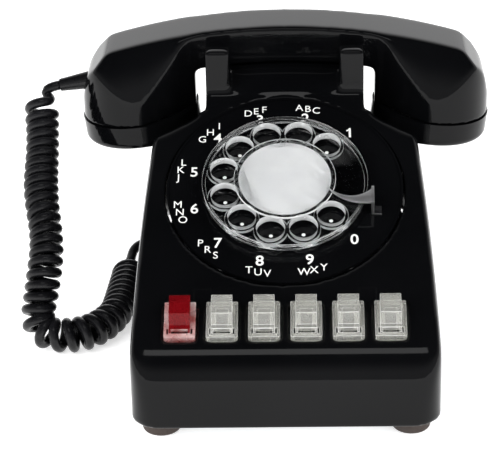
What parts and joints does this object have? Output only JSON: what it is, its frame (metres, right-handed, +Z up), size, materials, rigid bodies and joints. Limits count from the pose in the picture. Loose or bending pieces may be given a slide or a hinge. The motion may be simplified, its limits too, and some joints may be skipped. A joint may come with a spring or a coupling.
{
  "type": "rotary telephone",
  "caption": "Desk telephone with a rotary dial, a row of push keys below it, a handset on a cradle and a coiled handset cord.",
  "frame": {"origin": "on the table under the middle of the telephone, handset on its cradle", "axes": "+Z up, +X to the right of a person using it, +Y to the back"},
  "size_m": [0.2328, 0.2364, 0.1392],
  "materials": {
    "black_plastic": "glossy moulded phenolic black",
    "clear_plastic": "clear acrylic",
    "key_clear": "milky clear acrylic",
    "key_red": "red translucent acrylic",
    "card_white": "white card",
    "chrome": "polished",
    "steel": "zinc plated",
    "brass": "satin",
    "rubber": "matte",
    "cord_rubber": "glossy moulded cord jacket",
    "grey_paint": "satin grey",
    "insulator": "brown laminate",
    "coil_tape": "wound coil tape",
    "potting": "potted case",
    "lamp_glass": "clear lamp"
  },
  "bodies": {
    "base": {"housing": "black_plastic", "base_plate": "grey_paint", "rubber_feet": "rubber", "housing_screws": "steel", "number_plate": "black_plastic", "dial_frame": "grey_paint", "dial_back_plate": "grey_paint", "governor_cup": "brass", "dial_return_spring": "steel", "pulse_contacts": "insulator", "finger_stop": "chrome", "dial_screws": "steel", "dial_bracket": "grey_paint", "key_frame": "grey_paint", "key_springs": "steel", "key_lamps": "lamp_glass", "key_contacts": "insulator", "hook_bracket": "grey_paint", "hook_pin": "steel", "hook_contacts": "insulator", "hook_spring": "steel", "gong_left": "brass", "gong_right": "brass", "gong_screws": "steel", "ringer_frame": "grey_paint", "ringer_coil": "coil_tape", "network_block": "potting", "terminal_strip": "insulator", "cord_base_gland": "rubber", "line_cord_grommet": "rubber", "handset_cord_coil": "cord_rubber", "handset_cord_leads": "cord_rubber"},
    "dial_wheel": {"finger_wheel": "clear_plastic", "number_card": "card_white", "card_retainer": "clear_plastic", "dial_main_shaft": "steel", "main_gear": "brass"},
    "cam_shaft": {"pinion_shaft": "steel", "pulse_cam": "insulator", "worm_wheel": "card_white"},
    "governor": {"governor_shaft": "steel"},
    "key_latch": {"key_latch_bar": "steel"},
    "handset": {"handset_shell": "black_plastic", "transmitter_cap": "black_plastic", "receiver_cap": "black_plastic", "transmitter_capsule": "steel", "transmitter_cup": "potting", "receiver_capsule": "steel", "handset_strain_relief": "cord_rubber"},
    "hook_plungers": {"hook_plunger_left": "clear_plastic", "hook_plunger_right": "clear_plastic"},
    "hook_lever": {"hook_lever": "steel"},
    "clapper": {"ringer_clapper": "steel"},
    "volume_wheel": {"ringer_volume_wheel": "potting"},
    "hold_key": {"hold_key": "key_red"},
    "line_key_1": {"line_key_1": "key_clear"},
    "line_key_2": {"line_key_2": "key_clear"},
    "line_key_3": {"line_key_3": "key_clear"},
    "line_key_4": {"line_key_4": "key_clear"},
    "line_key_5": {"line_key_5": "key_clear"}
  },
  "joints": [
    {"name": "dial_spin", "type": "hinge", "parent": "base", "child": "dial_wheel", "pos_m": [0, -0.0257, 0.0834], "axis": [0, 0.4415, -0.8973], "range_deg": [0, 313], "stiffness_Nm_per_rad": 0.008, "springref_deg": -85.94},
    {"name": "cam_spin", "type": "hinge", "parent": "base", "child": "cam_shaft", "pos_m": [-0.0294, -0.0257, 0.0834], "axis": [0, 0.4415, -0.8973], "range_deg": [-1890, 6]},
    {"name": "governor_spin", "type": "hinge", "parent": "base", "child": "governor", "pos_m": [-0.0199, -0.01855, 0.06886], "axis": [0, 0.8973, 0.4415], "continuous": true},
    {"name": "handset_lift", "type": "slide", "parent": "base", "child": "handset", "axis": [0, 0, 1], "range_m": [0, 0.1]},
    {"name": "plunger_rise", "type": "slide", "parent": "base", "child": "hook_plungers", "axis": [0, 0, 1], "range_m": [0, 0.0062]},
    {"name": "hook_lever_turn", "type": "hinge", "parent": "base", "child": "hook_lever", "pos_m": [0, 0.0355, 0.099], "axis": [1, 0, 0], "range_deg": [-0.5, 18.6]},
    {"name": "latch_slide", "type": "slide", "parent": "base", "child": "key_latch", "axis": [1, 0, 0], "range_m": [0, 0.0015], "stiffness_N_per_m": 300, "springref_m": -0.001},
    {"name": "clapper_swing", "type": "hinge", "parent": "base", "child": "clapper", "pos_m": [0, 0.048, 0.024], "axis": [0, 0, 1], "range_deg": [-3, 3], "stiffness_Nm_per_rad": 0.002},
    {"name": "volume_turn", "type": "hinge", "parent": "base", "child": "volume_wheel", "pos_m": [0.046, 0.078, 0.0079], "axis": [0, 0, 1], "range_deg": [0, 90]},
    {"name": "hold_key_press", "type": "slide", "parent": "base", "child": "hold_key", "axis": [0, 0.4415, -0.8973], "range_m": [0, 0.004], "stiffness_N_per_m": 250, "springref_m": -0.002, "deforming": ["key_springs"]},
    {"name": "line_key_1_press", "type": "slide", "parent": "base", "child": "line_key_1", "axis": [0, 0.4415, -0.8973], "range_m": [0, 0.004], "stiffness_N_per_m": 250, "springref_m": -0.002},
    {"name": "line_key_2_press", "type": "slide", "parent": "base", "child": "line_key_2", "axis": [0, 0.4415, -0.8973], "range_m": [0, 0.004], "stiffness_N_per_m": 250, "springref_m": -0.002},
    {"name": "line_key_3_press", "type": "slide", "parent": "base", "child": "line_key_3", "axis": [0, 0.4415, -0.8973], "range_m": [0, 0.004], "stiffness_N_per_m": 250, "springref_m": -0.002},
    {"name": "line_key_4_press", "type": "slide", "parent": "base", "child": "line_key_4", "axis": [0, 0.4415, -0.8973], "range_m": [0, 0.004], "stiffness_N_per_m": 250, "springref_m": -0.002},
    {"name": "line_key_5_press", "type": "slide", "parent": "base", "child": "line_key_5", "axis": [0, 0.4415, -0.8973], "range_m": [0, 0.004], "stiffness_N_per_m": 250, "springref_m": -0.002}
  ],
  "couplings": [
    {"joint": "cam_spin", "follows": "dial_spin", "ratio": -6},
    {"joint": "plunger_rise", "follows": "handset_lift", "ratio": 0.06},
    {"joint": "hook_lever_turn", "follows": "handset_lift", "rad_per_m": 3.16}
  ]
}
